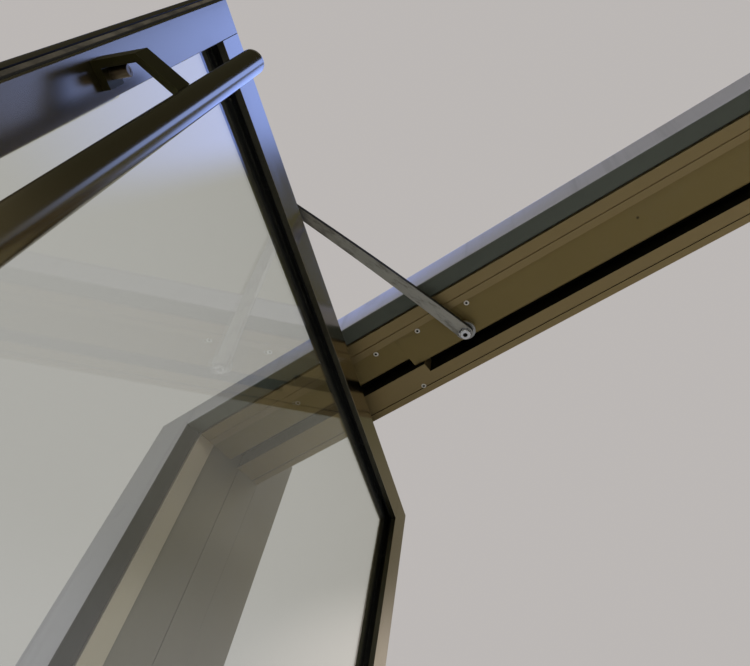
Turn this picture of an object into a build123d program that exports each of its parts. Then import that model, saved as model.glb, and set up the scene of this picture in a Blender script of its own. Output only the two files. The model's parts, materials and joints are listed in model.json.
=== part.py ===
from build123d import *
import math
import os

# A pair of glazed entrance doors in one frame, in millimetres. X runs along the wall, -Y is outdoors and
# +Y is indoors, +Z is up. The origin is the middle of the threshold's underside. The left leaf is built
# at its pivot with its own X along the leaf, then turned open, and the right leaf is its mirror image.

# Leaf sizes
LEAF_WIDTH = 1000.0
LEAF_HEIGHT = 2400.0
LEAF_THICK = 44.5
PIVOT_SETBACK = 337.0
REST_ANGLE = 67.0
HINGE_STILE = 66.0
LEAD_STILE = 41.0
RAIL_HEIGHT = 63.0
STILE_ROUND = 6.0
EDGE_ROUND = 1.5
EDGE_NOSE = 8.0
EDGE_NOSE_WIDTH = 38.5
NOSE_LINE_AT = 12.0
NOSE_LINE_BOTTOM = 3.0

# Glazing
GLASS_THICK = 12.0
GLASS_EDGE_COVER = 12.0
GROOVE_CLEARANCE = 0.5
GASKET_WIDTH = 7.0
GASKET_RECESS = 9.0

# Gaps round the leaves
MEETING_GAP = 6.0
JAMB_GAP = 8.0
FLOOR_GAP = 8.0
TOP_GAP = 29.0

# Frame
FRAME_DEPTH = 166.0
JAMB_WIDTH = 70.0
BEAM_HEIGHT = 80.0
HEADER_POCKET = 40.0
SILL_HEIGHT = 12.0
SILL_BEVEL = 6.0
OUTER_STRIP = 36.0
OUTER_GROOVE_AT = 20.5
INNER_STRIP = 39.5
INNER_GROOVE_AT = 15.5
LINE_WIDTH = 2.0
LINE_DEPTH = 2.0
PLATE_STEP = 6.0
PLATE_THICK = 4.0
PLATE_ROLL = 5.0
SLOT_WIDTH = 20.0
END_PLATE_LENGTH = 473.0
END_STRIP_DEPTH = 19.5
END_STRIP_OVERLAP = 20.0
JAMB_LINE_AT = 110.0
RETURN_DEPTH = 71.0
CASING_DEPTH = 34.0
CASING_HEIGHT = 61.0
CASING_WIDTH = 105.0
CASING_SHADOW_GAP = 5.0
CASING_SHADOW_DEPTH = 8.0
CASING_ROUND = 3.0

# Pivots
PIVOT_PIN_R = 10.0
PIVOT_BITE = 20.0
RUNNING_CLEARANCE = 0.1
COLLAR_R = 20.0
SEAT_CLEARANCE = 0.3

# Closer arms
SPINDLE_FROM_PIVOT = 258.0
ARM_REACH = 368.0
ARM_WIDTH = 27.0
ARM_TIP_WIDTH = 15.0
ARM_THICK = 8.0
ARM_BOW = 3.0
ARM_BELOW_HEADER = 10.0
SPINDLE_R = 12.0
SPINDLE_COLLAR_R = 18.5
SPINDLE_COLLAR_HEIGHT = 6.0
BOLT_HEAD_R = 10.0
BOLT_HEAD_HEIGHT = 6.0
BOLT_SOCKET_R = 4.5
BOLT_SOCKET_DEPTH = 4.0
WASHER_R = 12.0
WASHER_THICK = 1.0
ROLLER_R = 7.0
ROLLER_CLEARANCE = 5.5
TRACK_WIDTH = 24.0
TRACK_DEPTH = 18.0
TRACK_END_MARGIN = 12.0

# Pull handles
PULL_R = 13.0
PULL_FROM_FACE = 70.0
PULL_FROM_EDGE = 55.0
PULL_END_INSET = 182.0
PULL_CAP_ROUND = 3.0
BRACKET_FROM_TOP = 370.0
BRACKET_FROM_EDGE = 12.0
BRACKET_LEG = 40.0
BRACKET_THICK = 7.0
BRACKET_HEIGHT = 27.0
BRACKET_FOOT = 21.0
STUD_R = 5.0
STUD_LENGTH = 23.0
STUD_FROM_EDGE = 22.0

# Places worked out from the sizes above
pivot_x = LEAF_WIDTH - PIVOT_SETBACK + EDGE_NOSE + MEETING_GAP / 2
jamb_x = pivot_x + PIVOT_SETBACK + JAMB_GAP
leaf_bottom = SILL_HEIGHT + FLOOR_GAP
leaf_top = leaf_bottom + LEAF_HEIGHT
wall_x = jamb_x + PLATE_STEP
header_z = leaf_top + TOP_GAP
beam_z = header_z + HEADER_POCKET
front_y = -FRAME_DEPTH / 2
back_y = FRAME_DEPTH / 2
hinge_x = -PIVOT_SETBACK
lead_x = LEAF_WIDTH - PIVOT_SETBACK
half_thick = LEAF_THICK / 2
plate_z = header_z + PLATE_STEP
plate_y0 = front_y + OUTER_STRIP
slot_y1 = back_y - INNER_STRIP
end_plate_x = jamb_x - END_PLATE_LENGTH
end_strip_x = end_plate_x - END_STRIP_OVERLAP
arm_top = header_z - ARM_BELOW_HEADER
arm_bottom = arm_top - ARM_THICK


def block(x0, x1, y0, y1, z0, z1):
    """A box from its lowest corner to its highest."""
    size = (x1 - x0, y1 - y0, z1 - z0)
    middle = ((x0 + x1) / 2, (y0 + y1) / 2, (z0 + z1) / 2)
    return Pos(*middle) * Box(*size)


def post(points, z0, z1):
    """A plan outline raised from z0 to z1."""
    return Pos(0, 0, z0) * extrude(make_face(Polyline(*points, close=True)), z1 - z0)


def rail(points, x0, x1):
    """A (y, z) outline run along X from x0 to x1."""
    plane = Plane(origin=(x0, 0, 0), x_dir=(0, 1, 0), z_dir=(1, 0, 0))
    return extrude(plane * make_face(Polyline(*points, close=True)), x1 - x0)


def drum(x, y, z0, z1, radius):
    """An upright cylinder."""
    return Pos(x, y, (z0 + z1) / 2) * Cylinder(radius, z1 - z0)


def jamb_outline():
    """Plan of the left jamb: the outdoor strip, then one long set-back face with a line down it."""
    face = -jamb_x
    back = face - JAMB_WIDTH
    inner = -wall_x
    line = front_y + JAMB_LINE_AT
    return [
        (back, front_y),
        (face, front_y),
        (face, plate_y0),
        (inner, plate_y0),
        (inner, line),
        (inner - LINE_DEPTH, line),
        (inner - LINE_DEPTH, line + LINE_WIDTH),
        (inner, line + LINE_WIDTH),
        (inner, back_y),
        (back, back_y),
    ]


def header_outer_strip():
    """The two strips along the outdoor side of the header's underside, with a line between them."""
    line = front_y + OUTER_GROOVE_AT
    points = [
        (front_y, header_z),
        (line, header_z),
        (line, header_z + LINE_DEPTH),
        (line + LINE_WIDTH, header_z + LINE_DEPTH),
        (line + LINE_WIDTH, header_z),
        (plate_y0, header_z),
        (plate_y0, beam_z),
        (front_y, beam_z),
    ]
    return rail(points, -jamb_x, jamb_x)


def header_inner_strip():
    """The strip along the indoor side of the header's underside, wider over the two end plates."""
    line = back_y - INNER_GROOVE_AT
    points = [
        (slot_y1, header_z),
        (line, header_z),
        (line, header_z + LINE_DEPTH),
        (line + LINE_WIDTH, header_z + LINE_DEPTH),
        (line + LINE_WIDTH, header_z),
        (back_y, header_z),
        (back_y, beam_z),
        (slot_y1, beam_z),
    ]
    strip = rail(points, -wall_x, wall_x)
    for x0, x1 in ((-wall_x, -end_strip_x), (end_strip_x, wall_x)):
        strip = strip + block(x0, x1, slot_y1 - END_STRIP_DEPTH, slot_y1, header_z, beam_z)
    return strip


def cover_plate(x0, x1, edge_y):
    """A cover plate whose indoor edge rolls up into the shadow slot, ending at edge_y."""
    flat_end = edge_y - PLATE_ROLL
    roll_z = plate_z + PLATE_ROLL
    inside = PLATE_ROLL - PLATE_THICK
    lines = [
        Line((plate_y0, plate_z), (flat_end, plate_z)),
        CenterArc((flat_end, roll_z), PLATE_ROLL, -90, 90),
        Line((edge_y, roll_z), (edge_y - PLATE_THICK, roll_z)),
        CenterArc((flat_end, roll_z), inside, 0, -90),
        Line((flat_end, plate_z + PLATE_THICK), (plate_y0, plate_z + PLATE_THICK)),
        Line((plate_y0, plate_z + PLATE_THICK), (plate_y0, plate_z)),
    ]
    plane = Plane(origin=(x0, 0, 0), x_dir=(0, 1, 0), z_dir=(1, 0, 0))
    return extrude(plane * make_face(Wire(lines)), x1 - x0)


def casing_outline(width):
    """Section of the casing: x is how far it stands out from the frame, y runs away from the opening."""
    points = [
        (0, CASING_SHADOW_DEPTH),
        (CASING_SHADOW_GAP, CASING_SHADOW_DEPTH),
        (CASING_SHADOW_GAP, 0),
        (CASING_DEPTH, 0),
        (CASING_DEPTH, width),
        (0, width),
    ]
    face = make_face(Polyline(*points, close=True))
    front = face.vertices().sort_by(Axis.X)[-2:]
    return fillet(front, CASING_ROUND)


def casing_mitre(corners):
    """The room on one side of the mitre lines, from (x, z) corners on the front of the frame."""
    plan = Plane(origin=(0, front_y, 0), x_dir=(1, 0, 0), z_dir=(0, -1, 0))
    return extrude(plan * make_face(Polyline(*corners, close=True)), CASING_DEPTH)


def casing_head():
    """The casing over the header, mitred at both ends."""
    outer = jamb_x + CASING_WIDTH
    plane = Plane(origin=(-outer, front_y, header_z), x_dir=(0, -1, 0), z_dir=(-1, 0, 0))
    straight = extrude(plane * casing_outline(CASING_HEIGHT), 2 * outer, dir=(1, 0, 0))
    top = header_z + CASING_HEIGHT
    corners = [(-outer, top), (outer, top), (jamb_x, header_z), (-jamb_x, header_z)]
    return straight & casing_mitre(corners)


def casing_left():
    """The wider casing up the left jamb, mitred at its top."""
    outer = jamb_x + CASING_WIDTH
    top = header_z + CASING_HEIGHT
    plane = Plane(origin=(-jamb_x, front_y, 0), x_dir=(0, -1, 0), z_dir=(0, 0, -1))
    straight = extrude(plane * casing_outline(CASING_WIDTH), top, dir=(0, 0, 1))
    corners = [(-outer, 0), (-jamb_x, 0), (-jamb_x, header_z), (-outer, top)]
    return straight & casing_mitre(corners)


def threshold():
    """A flat sill with its two long edges bevelled."""
    points = [
        (front_y, 0),
        (back_y, 0),
        (back_y, SILL_HEIGHT - SILL_BEVEL),
        (back_y - SILL_BEVEL, SILL_HEIGHT),
        (front_y + SILL_BEVEL, SILL_HEIGHT),
        (front_y, SILL_HEIGHT - SILL_BEVEL),
    ]
    return rail(points, -jamb_x, jamb_x)


def glazing_groove():
    """The space that the glass edge takes in the stiles and rails, with its clearance."""
    reach = GLASS_EDGE_COVER + GROOVE_CLEARANCE
    half = GLASS_THICK / 2 + GROOVE_CLEARANCE
    return block(
        hinge_x + HINGE_STILE - reach,
        lead_x - LEAD_STILE + reach,
        -half,
        half,
        leaf_bottom + RAIL_HEIGHT - reach,
        leaf_top - RAIL_HEIGHT + reach,
    )


def hinge_stile():
    """The wide stile beside the jamb, with a round back edge and a groove for the glass."""
    body = block(hinge_x, hinge_x + HINGE_STILE, -half_thick, half_thick, leaf_bottom, leaf_top)
    back = body.edges().filter_by(Axis.Z).group_by(Axis.X)[0]
    body = fillet(back, STILE_ROUND)
    return body - glazing_groove()


def lead_stile():
    """The narrow stile at the meeting edge."""
    body = block(lead_x - LEAD_STILE, lead_x, -half_thick, half_thick, leaf_bottom, leaf_top)
    front = body.edges().filter_by(Axis.Z).group_by(Axis.X)[-1]
    body = fillet(front, EDGE_ROUND)
    return body - glazing_groove()


def edge_nose():
    """The round nose strip along the meeting edge, with a line down it on both sides of its middle."""
    half = EDGE_NOSE_WIDTH / 2
    arc = ThreePointArc((lead_x, -half), (lead_x + EDGE_NOSE, 0), (lead_x, half))
    face = make_face(Wire([arc, Line((lead_x, half), (lead_x, -half))]))
    nose = Pos(0, 0, leaf_bottom) * extrude(face, LEAF_HEIGHT)
    x0 = lead_x + NOSE_LINE_BOTTOM
    x1 = lead_x + EDGE_NOSE
    for y in (-NOSE_LINE_AT, NOSE_LINE_AT):
        nose = nose - block(x0, x1, y - LINE_WIDTH / 2, y + LINE_WIDTH / 2, leaf_bottom, leaf_top)
    return nose


def arm_end_at(opening):
    """Distance from the leaf's pivot to the arm's roller when the leaf is open by this angle."""
    turn = math.radians(opening)
    along = SPINDLE_FROM_PIVOT * math.cos(turn)
    off = SPINDLE_FROM_PIVOT * math.sin(turn)
    return along + math.sqrt(ARM_REACH**2 - off**2)


def top_rail():
    """The top rail, with the groove for the glass, the arm's track and the bore for the top pivot."""
    x0 = hinge_x + HINGE_STILE
    x1 = lead_x - LEAD_STILE
    body = block(x0, x1, -half_thick, half_thick, leaf_top - RAIL_HEIGHT, leaf_top)
    track_x0 = arm_end_at(90) - ROLLER_R - TRACK_END_MARGIN
    track = block(track_x0, x1, -TRACK_WIDTH / 2, TRACK_WIDTH / 2, leaf_top - TRACK_DEPTH, leaf_top)
    bore = drum(0, 0, leaf_top - PIVOT_BITE - SEAT_CLEARANCE, leaf_top, PIVOT_PIN_R + RUNNING_CLEARANCE)
    return body - glazing_groove() - track - bore


def bottom_rail():
    """The bottom rail, with the groove for the glass and the bore for the floor pivot."""
    x0 = hinge_x + HINGE_STILE
    x1 = lead_x - LEAD_STILE
    body = block(x0, x1, -half_thick, half_thick, leaf_bottom, leaf_bottom + RAIL_HEIGHT)
    bore_top = leaf_bottom + PIVOT_BITE + SEAT_CLEARANCE
    bore = drum(0, 0, leaf_bottom, bore_top, PIVOT_PIN_R + RUNNING_CLEARANCE)
    return body - glazing_groove() - bore


def glass():
    """The pane, its edges in the groove of the stiles and rails."""
    half = GLASS_THICK / 2
    return block(
        hinge_x + HINGE_STILE - GLASS_EDGE_COVER,
        lead_x - LEAD_STILE + GLASS_EDGE_COVER,
        -half,
        half,
        leaf_bottom + RAIL_HEIGHT - GLASS_EDGE_COVER,
        leaf_top - RAIL_HEIGHT + GLASS_EDGE_COVER,
    )


def gasket():
    """The black strip between the glass and the set-back lip of the frame, on both faces."""
    x0 = hinge_x + HINGE_STILE
    x1 = lead_x - LEAD_STILE
    z0 = leaf_bottom + RAIL_HEIGHT
    z1 = leaf_top - RAIL_HEIGHT
    near = half_thick - GASKET_RECESS
    width = GASKET_WIDTH
    rim = block(x0, x1, -near, near, z0, z1)
    window = block(x0 + width, x1 - width, -near, near, z0 + width, z1 - width)
    pane = block(x0, x1, -GLASS_THICK / 2, GLASS_THICK / 2, z0, z1)
    return rim - window - pane


pull_x = lead_x - PULL_FROM_EDGE
bracket_x = lead_x - BRACKET_FROM_EDGE
pull_z0 = leaf_bottom + PULL_END_INSET
pull_z1 = leaf_top - PULL_END_INSET


def pull_tube(side):
    """The long upright grip, with rounded rims at its flat ends."""
    y = side * (half_thick + PULL_FROM_FACE)
    body = drum(pull_x, y, pull_z0, pull_z1, PULL_R)
    return fillet(body.edges().filter_by(GeomType.CIRCLE), PULL_CAP_ROUND)


def bracket(side, middle_z):
    """A flat bar bent from the stile out to the grip, with the stud that holds it."""
    z0 = middle_z - BRACKET_HEIGHT / 2
    z1 = middle_z + BRACKET_HEIGHT / 2
    half = BRACKET_THICK / 2
    foot_y = half_thick
    x0 = bracket_x - half
    x1 = bracket_x + half
    bend_y = half_thick + BRACKET_LEG
    grip_y = half_thick + PULL_FROM_FACE
    away = math.atan2(grip_y - bend_y, pull_x - bracket_x)
    along = (math.cos(away), math.sin(away))
    across = (-along[1] * half, along[0] * half)
    reach = math.dist((bracket_x, bend_y), (pull_x, grip_y)) - PULL_R
    end_x = bracket_x + along[0] * reach
    end_y = bend_y + along[1] * reach
    turn = half * math.tan((math.pi - away) / 2)
    points = [
        (x1, foot_y),
        (x1, bend_y + turn),
        (end_x - across[0], end_y - across[1]),
        (end_x + across[0], end_y + across[1]),
        (x0, bend_y - turn),
        (x0, foot_y + BRACKET_THICK),
        (bracket_x - BRACKET_FOOT, foot_y + BRACKET_THICK),
        (bracket_x - BRACKET_FOOT, foot_y),
    ]
    bar = post(points, z0, z1) - Pos(pull_x, grip_y, middle_z) * Cylinder(PULL_R, 2 * BRACKET_HEIGHT)
    stud_place = Pos(lead_x - STUD_FROM_EDGE, foot_y + STUD_LENGTH / 2, middle_z)
    stud = stud_place * Rotation(90, 0, 0) * Cylinder(STUD_R, STUD_LENGTH)
    whole = bar + stud
    return whole if side > 0 else mirror(whole, about=Plane.XZ)


def brackets(side):
    """The upper and lower brackets of one pull."""
    upper = bracket(side, leaf_top - BRACKET_FROM_TOP)
    lower = bracket(side, leaf_bottom + BRACKET_FROM_TOP)
    return upper + lower


def place_leaf(shape):
    """Turn a left-leaf piece open about its pivot."""
    return Pos(-pivot_x, 0, 0) * Rotation(0, 0, -REST_ANGLE) * shape


rest_turn = math.radians(REST_ANGLE)
arm_turn = REST_ANGLE + math.degrees(math.asin(SPINDLE_FROM_PIVOT / ARM_REACH * math.sin(rest_turn)))
spindle_x = -pivot_x + SPINDLE_FROM_PIVOT


def place_arm(shape):
    """Turn a left-arm piece to its rest angle about the spindle."""
    return Pos(spindle_x, 0, 0) * Rotation(0, 0, -arm_turn) * shape


def arm_bar():
    """The flat bar from the spindle to the track, narrower towards the track and bowed a little."""
    wide = ARM_WIDTH / 2
    tip = ARM_TIP_WIDTH / 2
    middle = (wide + tip) / 2
    half_way = ARM_REACH / 2
    edges = [
        ThreePointArc((0, wide), (half_way, ARM_BOW + middle), (ARM_REACH, tip)),
        Line((ARM_REACH, tip), (ARM_REACH, -tip)),
        ThreePointArc((ARM_REACH, -tip), (half_way, ARM_BOW - middle), (0, -wide)),
        Line((0, -wide), (0, wide)),
    ]
    face = make_face(Wire(edges)) + Circle(wide) + Pos(ARM_REACH, 0) * Circle(tip)
    bar = Pos(0, 0, arm_bottom) * extrude(face, ARM_THICK)
    roller = drum(ARM_REACH, 0, leaf_top + ROLLER_CLEARANCE, arm_bottom, ROLLER_R)
    return bar + roller


def arm_bolt():
    """The round-headed socket bolt and its washer under the arm."""
    washer = drum(0, 0, arm_bottom - WASHER_THICK, arm_bottom, WASHER_R)
    head_top = arm_bottom - WASHER_THICK
    head_bottom = head_top - BOLT_HEAD_HEIGHT
    head = drum(0, 0, head_bottom, head_top, BOLT_HEAD_R)
    rim = head.edges().filter_by(GeomType.CIRCLE).sort_by(Axis.Z)[0]
    head = fillet(rim, BOLT_HEAD_HEIGHT / 3)
    hexagon = Pos(0, 0, head_bottom) * extrude(RegularPolygon(BOLT_SOCKET_R, 6), BOLT_SOCKET_DEPTH)
    return head + washer - hexagon


def spindle():
    """The closer's spindle, down through the cover plate to the arm."""
    low = arm_top + SEAT_CLEARANCE
    shaft = drum(spindle_x, 0, low, beam_z, SPINDLE_R)
    collar = drum(spindle_x, 0, low, low + SPINDLE_COLLAR_HEIGHT, SPINDLE_COLLAR_R)
    return shaft + collar


def top_pivot():
    """The pin from the beam down into the top rail."""
    return drum(-pivot_x, 0, leaf_top - PIVOT_BITE, beam_z, PIVOT_PIN_R)


def floor_pivot():
    """The pin and collar on the sill that carry the leaf."""
    collar_top = leaf_bottom - SEAT_CLEARANCE
    pin = drum(-pivot_x, 0, SILL_HEIGHT, leaf_bottom + PIVOT_BITE, PIVOT_PIN_R)
    collar = drum(-pivot_x, 0, SILL_HEIGHT, collar_top, COLLAR_R)
    return pin + collar


def left_cover_plate():
    """The end cover plate, with a hole round the top pivot."""
    plate = cover_plate(-wall_x, -end_plate_x, slot_y1 - SLOT_WIDTH - END_STRIP_DEPTH)
    hole = drum(-pivot_x, 0, header_z, beam_z, PIVOT_PIN_R + SEAT_CLEARANCE)
    return plate - hole


def middle_cover_plate():
    """The long cover plate between the end plates, with a hole round each spindle."""
    plate = cover_plate(-end_plate_x, end_plate_x, slot_y1 - SLOT_WIDTH)
    for x in (spindle_x, -spindle_x):
        plate = plate - drum(x, 0, header_z, beam_z, SPINDLE_R + SEAT_CLEARANCE)
    return plate


def left_jamb_return():
    """The deeper part of the jamb, which runs on indoors past the header."""
    return block(-jamb_x - JAMB_WIDTH, -wall_x, back_y, back_y + RETURN_DEPTH, 0, beam_z + BEAM_HEIGHT)


def mirrored(shape):
    """The right-hand twin of a left-hand piece."""
    return mirror(shape, about=Plane.YZ)


beam_x = jamb_x + JAMB_WIDTH
nodes = {
    "header_beam": block(-beam_x, beam_x, front_y, back_y, beam_z, beam_z + BEAM_HEIGHT),
    "header_outer_strip": header_outer_strip(),
    "header_inner_strip": header_inner_strip(),
    "header_cover_middle": middle_cover_plate(),
    "casing_head": casing_head(),
    "threshold": threshold(),
}

pairs = {
    "jamb": post(jamb_outline(), 0, beam_z),
    "casing": casing_left(),
    "header_cover": left_cover_plate(),
    "jamb_return": left_jamb_return(),
    "top_pivot": top_pivot(),
    "floor_pivot": floor_pivot(),
    "closer_spindle": spindle(),
    "hinge_stile": place_leaf(hinge_stile()),
    "lead_stile": place_leaf(lead_stile()),
    "top_rail": place_leaf(top_rail()),
    "bottom_rail": place_leaf(bottom_rail()),
    "edge_nose": place_leaf(edge_nose()),
    "glass": place_leaf(glass()),
    "glazing_gasket": place_leaf(gasket()),
    "inside_pull": place_leaf(pull_tube(1)),
    "inside_pull_brackets": place_leaf(brackets(1)),
    "outside_pull": place_leaf(pull_tube(-1)),
    "outside_pull_brackets": place_leaf(brackets(-1)),
    "closer_arm": place_arm(arm_bar()),
    "closer_arm_bolt": place_arm(arm_bolt()),
}

for name, shape in pairs.items():
    nodes["left_" + name] = shape
    nodes["right_" + name] = mirrored(shape)

os.makedirs("parts", exist_ok=True)
for name, shape in nodes.items():
    export_step(shape, f"parts/{name}.step")

print("nodes", len(nodes), "arm turn", round(arm_turn, 2), "arm ratio", round(arm_turn / REST_ANGLE, 4))
print("pivot x", pivot_x, "jamb x", jamb_x, "spindle x", spindle_x, "header z", header_z)
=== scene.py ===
# %% [markdown]
# A pair of glazed entrance doors, seen from just under the left leaf. The solid model of the frame, the
# leaves, the closer arms and the pulls comes from the CAD part, in metres and with every piece in its
# place. This lesson dresses it: rounded edges, rubber gaskets, screws, brush seals, finishes, light and
# camera. It changes no size of the doors.

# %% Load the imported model
import json
import math

import bmesh
import bpy
from mathutils import Matrix, Vector

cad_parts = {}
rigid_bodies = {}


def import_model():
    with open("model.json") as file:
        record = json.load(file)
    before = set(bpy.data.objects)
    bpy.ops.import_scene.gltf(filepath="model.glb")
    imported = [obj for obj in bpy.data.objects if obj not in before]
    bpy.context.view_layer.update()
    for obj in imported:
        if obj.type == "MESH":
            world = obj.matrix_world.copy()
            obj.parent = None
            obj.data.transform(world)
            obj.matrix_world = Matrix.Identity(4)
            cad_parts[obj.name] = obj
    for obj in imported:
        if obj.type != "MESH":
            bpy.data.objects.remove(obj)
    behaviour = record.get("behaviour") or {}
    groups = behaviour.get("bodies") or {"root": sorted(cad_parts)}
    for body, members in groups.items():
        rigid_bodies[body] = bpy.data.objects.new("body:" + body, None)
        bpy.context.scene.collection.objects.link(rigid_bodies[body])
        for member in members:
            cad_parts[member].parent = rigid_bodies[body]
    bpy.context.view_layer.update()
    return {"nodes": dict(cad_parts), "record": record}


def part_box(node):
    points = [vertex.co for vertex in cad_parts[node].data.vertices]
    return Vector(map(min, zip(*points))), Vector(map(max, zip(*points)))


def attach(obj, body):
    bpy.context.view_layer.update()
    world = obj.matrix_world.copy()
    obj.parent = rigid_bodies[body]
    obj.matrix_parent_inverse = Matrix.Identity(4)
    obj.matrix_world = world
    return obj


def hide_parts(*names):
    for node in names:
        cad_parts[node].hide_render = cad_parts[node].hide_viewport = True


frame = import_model()

# %% [markdown]
# A material is a tree of nodes. With one call for each Math node, its sums are hard to read back. So a small
# class wraps a socket and gives it +, - and *. Every sum on masks then reads as a plain Python sum, and
# Blender still gets its Math nodes.

# %% Sums on sockets


class Value:
    """One output socket, with the usual operators adding Math nodes."""

    def __init__(self, graph, socket):
        self.graph, self.socket = graph, socket

    def math(self, operation, *others):
        values = dict(enumerate((self, *others)))
        return self.graph.node("ShaderNodeMath", {"operation": operation}, values)[0]

    def __add__(self, other):
        return self.math("ADD", other)

    def __sub__(self, other):
        return self.math("SUBTRACT", other)

    def __mul__(self, other):
        return self.math("MULTIPLY", other)

    def __rsub__(self, other):
        return self.graph.node("ShaderNodeMath", {"operation": "SUBTRACT"}, {0: other, 1: self})[0]

    __radd__, __rmul__ = __add__, __mul__

    def clamped(self):
        return self.math("MINIMUM", 1.0).math("MAXIMUM", 0.0)

    def step(self, low, high):
        """0 below low, 1 above high, smooth between."""
        settings = {"interpolation_type": "SMOOTHSTEP"}
        return self.graph.node("ShaderNodeMapRange", settings, {0: self, 1: low, 2: high})[0]

    def band(self, low, high, soft):
        """1 between low and high, fading out over soft on both sides."""
        return self.step(low - soft, low) * (1 - self.step(high, high + soft))


print("sums on sockets: +, -, *, clamped, step and band")

# %% [markdown]
# Any other node has a type, a few settings, and values or links in its sockets, so one method makes them
# all. The settings come first, because one such as a Mix node's data type decides which sockets there are.
# The same classes serve the materials, the Geometry Nodes tree and the world.

# %% Every other node from one method


class Graph:
    """A node tree that grows by one call for each node."""

    def __init__(self, tree):
        self.tree = tree

    def node(self, kind, settings=None, values=None):
        made = self.tree.nodes.new(kind)
        for name, value in (settings or {}).items():
            setattr(made, name, value)
        for key, value in (values or {}).items():
            socket = made.inputs[key]
            if isinstance(value, Value):
                self.tree.links.new(value.socket, socket)
            elif value is not None:
                socket.default_value = value
        return Outputs(self, made)

    def blend(self, factor, low, high):
        """A colour between two colours."""
        colours = [value if isinstance(value, Value) else (*value, 1) for value in (low, high)]
        return self.node("ShaderNodeMix", {"data_type": "RGBA"}, {0: factor, 6: colours[0], 7: colours[1]})[2]


class Outputs:
    """The outputs of a node, by number or by name."""

    def __init__(self, graph, made):
        self.graph, self.made = graph, made

    def __getitem__(self, key):
        return Value(self.graph, self.made.outputs[key])


print("one method makes any node")

# %% [markdown]
# Both leaves stand open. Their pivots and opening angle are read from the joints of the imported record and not
# typed in, so they can't drift apart from the solid model. In a leaf's own axes, X runs along the leaf from
# its pivot and Y goes indoors, which is handy for gaskets and studs. The right leaf is the left one mirrored,
# so its matrix is the left one's with X turned round.

# %% Where the leaves stand
JOINTS = {joint["name"]: joint for joint in frame["record"]["behaviour"]["joints"]}
PIVOT_X = JOINTS["right_leaf_swing"]["pos_m"][0]
SPINDLE_X = JOINTS["right_arm_swing"]["pos_m"][0]
TURN = math.radians(-JOINTS["left_leaf_swing"]["range_deg"][0])
ARM_TURN = TURN * frame["record"]["behaviour"]["couplings"][0]["ratio"]
SIDES = {"left": -1, "right": 1}
MIRROR = Matrix.Diagonal((-1, 1, 1, 1))
LEFT_LEAF = Matrix.Translation((-PIVOT_X, 0, 0)) @ Matrix.Rotation(-TURN, 4, "Z")
LEAF_PLACE = {"left": LEFT_LEAF, "right": MIRROR @ LEFT_LEAF}
print("leaves open by", round(math.degrees(TURN), 1), "degrees, arms by", round(math.degrees(ARM_TURN), 1))

# %% [markdown]
# A picture of metal would fit one bar only, and would show a seam where it repeats. Noise has no seam and
# fits a bar of any length, so every finish here is noise on the piece's own Object coordinates. Grain is
# noise stretched along the bar, and a Mapping node turns a second set of coordinates to lie along it. Slow
# drifts of tone are read without that turn, so a stile and a rail keep one even tone where they meet.

# %% A material on the piece's own place


class Finish(Graph):
    """A material on the piece's Object coordinates, with a second set turned so that X runs along the bar."""

    def __init__(self, name, along=(0, 0, 0), origin=(0, 0, 0)):
        self.material = bpy.data.materials.new(name)
        self.material.use_nodes = True
        super().__init__(self.material.node_tree)
        self.tree.nodes.clear()
        self.room = self.node("ShaderNodeTexCoord")["Object"]
        values = {"Vector": self.room, "Location": origin, "Rotation": along}
        self.bar = self.node("ShaderNodeMapping", {"vector_type": "TEXTURE"}, values)[0]

    def noise(self, scale, detail=3.0, rough=0.55, place=None):
        """Noise whose cells are about 1 / scale metres long each way."""
        values = {0: place or self.bar, 1: scale}
        stretched = self.node("ShaderNodeVectorMath", {"operation": "MULTIPLY"}, values)[0]
        values = {"Vector": stretched, "Scale": 1.0, "Detail": detail, "Roughness": rough}
        return self.node("ShaderNodeTexNoise", None, values)[0]

    def axis(self, name, place=None):
        """One coordinate, in metres."""
        return self.node("ShaderNodeSeparateXYZ", None, {0: place or self.bar})[name]

    def specks(self, per_metre, share):
        """Small round specks: 1 on a speck and 0 elsewhere."""
        cells = self.node("ShaderNodeTexVoronoi", None, {"Vector": self.room, "Scale": per_metre})
        keep = self.node("ShaderNodeSeparateColor", None, {0: cells["Color"]})[0]
        return (1 - cells["Distance"].step(0.05, 0.14)) * keep.step(1 - share, 1 - share * 0.9)

    def splashes(self):
        """Dried rain and shoe dust, strongest just above the floor."""
        low = 1 - self.axis("Z", self.room).step(0.02, 0.42)
        return low * self.noise((14.0, 14.0, 9.0), 5.0, 0.68, self.room).step(0.36, 0.66)

    def bump(self, height, distance, strength=1.0):
        values = {"Height": height, "Distance": distance, "Strength": strength}
        return self.node("ShaderNodeBump", None, values)[0]

    def surface(self, colour, rough, normal=None, **fixed):
        """The Principled shader; what changes is linked, and fixed numbers sit on its own sockets."""
        values = {"Base Color": colour if isinstance(colour, Value) else (*colour, 1), "Roughness": rough}
        if normal:
            values["Normal"] = normal
        for name, value in fixed.items():
            values[name.replace("_", " ")] = value
        return self.node("ShaderNodeBsdfPrincipled", None, values)[0]

    def output(self, shader):
        self.node("ShaderNodeOutputMaterial", None, {"Surface": shader})
        return self.material


print("a finish can draw noise, specks, splashes and bumps")

# %% [markdown]
# Satin metal has fine grain along the bar, a tone that drifts over a metre, and dust and wipe marks that
# break up the gloss. The bars differ only in tone, gloss and wear, so one function takes those and builds the
# same tree each time. Anodised metal is a clear glassy film over aluminium, so it is often a little less than
# fully metallic.

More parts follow.
